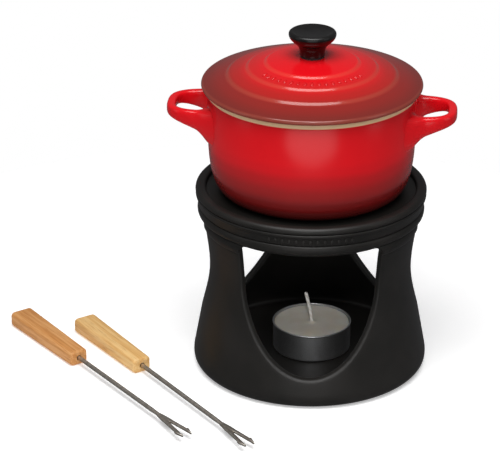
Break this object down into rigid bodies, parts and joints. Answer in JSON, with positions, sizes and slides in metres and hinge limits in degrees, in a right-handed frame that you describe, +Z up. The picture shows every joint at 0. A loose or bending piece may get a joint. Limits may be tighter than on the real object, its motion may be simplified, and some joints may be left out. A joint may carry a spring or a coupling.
{
  "type": "fondue pot set",
  "caption": "Small lidded round pot with loop handles on a waisted ceramic tealight stand with windows, with a tealight and wooden-handled fondue forks.",
  "frame": {"origin": "centre of the stand's foot, on the table that the set stands on", "axes": "+Z up along the axis of the stand, pot and lid; -Y out through the middle of the front window; +X to the right of the front, with the forks lying on the -X side"},
  "size_m": [0.2165, 0.1548, 0.1684],
  "materials": {
    "black_stoneware": "satin",
    "red_glaze": "gloss glaze",
    "lid_glaze": "gloss glaze",
    "black_phenolic": "gloss sides, satin top",
    "brass": "turned",
    "stainless_steel": "satin",
    "silicone": "matt",
    "thin_aluminium": "drawn foil",
    "paraffin_wax": "soft satin",
    "cotton_wick": "waxed braid",
    "oiled_wood": "smooth sanded",
    "fork_steel": "satin"
  },
  "bodies": {
    "stand": {"stand": "black_stoneware"},
    "pot": {"pot": "red_glaze"},
    "lid": {"lid": "lid_glaze", "knob": "black_phenolic", "knob_insert": "brass", "knob_screw": "stainless_steel", "knob_washer": "stainless_steel", "knob_gasket": "silicone"},
    "tealight": {"tealight_cup": "thin_aluminium", "tealight_wax": "paraffin_wax", "tealight_wick": "cotton_wick", "wick_sustainer": "stainless_steel"},
    "fork_1": {"fork_1_handle": "oiled_wood", "fork_1_prongs": "fork_steel"},
    "fork_2": {"fork_2_handle": "oiled_wood", "fork_2_prongs": "fork_steel"}
  },
  "joints": [
    {"name": "pot_lift", "type": "slide", "parent": "stand", "child": "pot", "axis": [0, 0, 1], "range_m": [0, 0.06]},
    {"name": "lid_lift", "type": "slide", "parent": "pot", "child": "lid", "axis": [0, 0, 1], "range_m": [0, 0.05]},
    {"name": "tealight_out", "type": "slide", "parent": "stand", "child": "tealight", "axis": [0, -0.8829, 0.4695], "range_m": [0, 0.095]},
    {"name": "fork_1_lift", "type": "slide", "parent": "stand", "child": "fork_1", "axis": [0, 0, 1], "range_m": [0, 0.06]},
    {"name": "fork_2_lift", "type": "slide", "parent": "stand", "child": "fork_2", "axis": [0, 0, 1], "range_m": [0, 0.06]}
  ]
}
